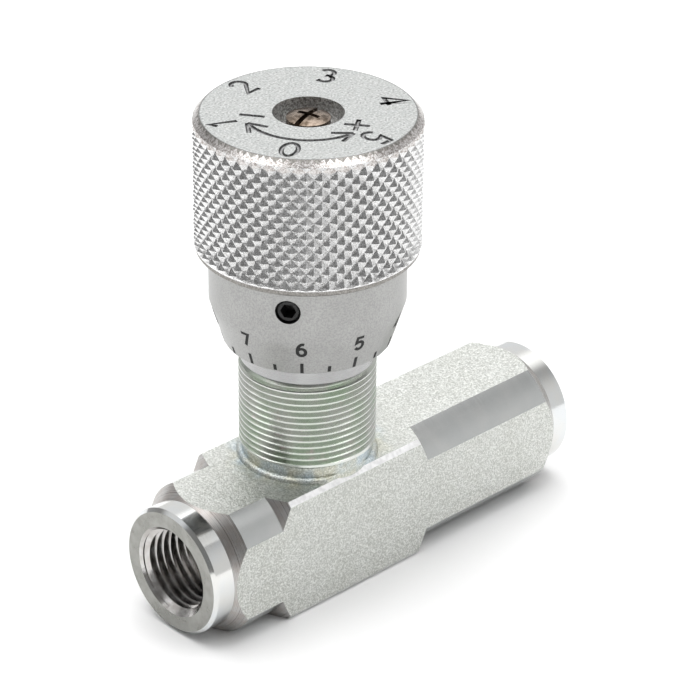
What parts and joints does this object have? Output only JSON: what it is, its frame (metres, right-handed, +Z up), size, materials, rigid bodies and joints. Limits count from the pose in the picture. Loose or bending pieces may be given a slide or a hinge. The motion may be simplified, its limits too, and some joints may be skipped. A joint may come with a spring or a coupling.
{
  "type": "flow control valve",
  "caption": "In-line throttle and check valve: square steel bar body with threaded ports, threaded panel neck and a knurled aluminium adjusting knob.",
  "frame": {"origin": "on the neck's axis, in the flat underside of the body", "axes": "+X along the port axis towards the long arm, +Z up the neck towards the knob, metres"},
  "size_m": [0.0729, 0.0322, 0.0739],
  "materials": {
    "zinc_steel": "bright zinc plating over blasted and turned steel",
    "turned_steel": "fine turned",
    "hard_steel": "hardened and ground",
    "spring_steel": "phosphated spring steel",
    "spring_wire": "drawn wire",
    "knob_aluminium": "satin, knurled",
    "yellow_screw": "yellow passivated",
    "black_screw": "black oxide",
    "pad_brass": "turned",
    "seal_rubber": "moulded",
    "backup_plastic": "PTFE"
  },
  "bodies": {
    "body_unit": {"valve_body": "zinc_steel", "throttle_seat": "hard_steel", "bonnet": "turned_steel", "bonnet_o_ring": "seal_rubber", "bonnet_backup_ring": "backup_plastic", "spindle_stop_ring": "spring_steel", "spring_retainer": "turned_steel", "retainer_circlip": "spring_steel", "check_spring": "spring_wire"},
    "needle_unit": {"throttle_needle": "hard_steel"},
    "knob_unit": {"adjusting_knob": "knob_aluminium", "adjusting_spindle": "turned_steel", "spindle_o_ring": "seal_rubber", "spindle_backup_ring": "backup_plastic", "knob_screw": "yellow_screw", "knob_lock_washer": "spring_steel", "knob_drive_pin": "hard_steel", "needle_swivel_ring": "spring_steel"},
    "lock_pad_unit": {"lock_pad": "pad_brass"},
    "lock_screw_unit": {"lock_set_screw": "black_screw"},
    "poppet_unit": {"check_poppet": "hard_steel"}
  },
  "joints": [
    {"name": "needle_lift", "type": "slide", "parent": "body_unit", "child": "needle_unit", "axis": [0, 0, 1], "range_m": [-0.002, 0.003]},
    {"name": "knob_turn", "type": "hinge", "parent": "needle_unit", "child": "knob_unit", "pos_m": [0, 0, 0.0372], "axis": [0, 0, 1], "range_deg": [-720, 1080]},
    {"name": "lock_pad_press", "type": "slide", "parent": "knob_unit", "child": "lock_pad_unit", "axis": [0.8141, 0.5807, 0], "range_m": [-0.0007, 0.00028]},
    {"name": "lock_screw_turn", "type": "hinge", "parent": "lock_pad_unit", "child": "lock_screw_unit", "pos_m": [-0.00961, -0.00685, 0.0498], "axis": [0.8141, 0.5807, 0], "range_deg": [-360, 144]},
    {"name": "poppet_lift", "type": "slide", "parent": "body_unit", "child": "poppet_unit", "axis": [1, 0, 0], "range_m": [0, 0.003], "stiffness_N_per_m": 500, "springref_m": -0.0036, "deforming": ["check_spring"]}
  ],
  "couplings": [
    {"joint": "needle_lift", "follows": "knob_turn", "m_per_rad": 0.00015915},
    {"joint": "lock_screw_turn", "follows": "lock_pad_press", "rad_per_m": 8975.9}
  ]
}
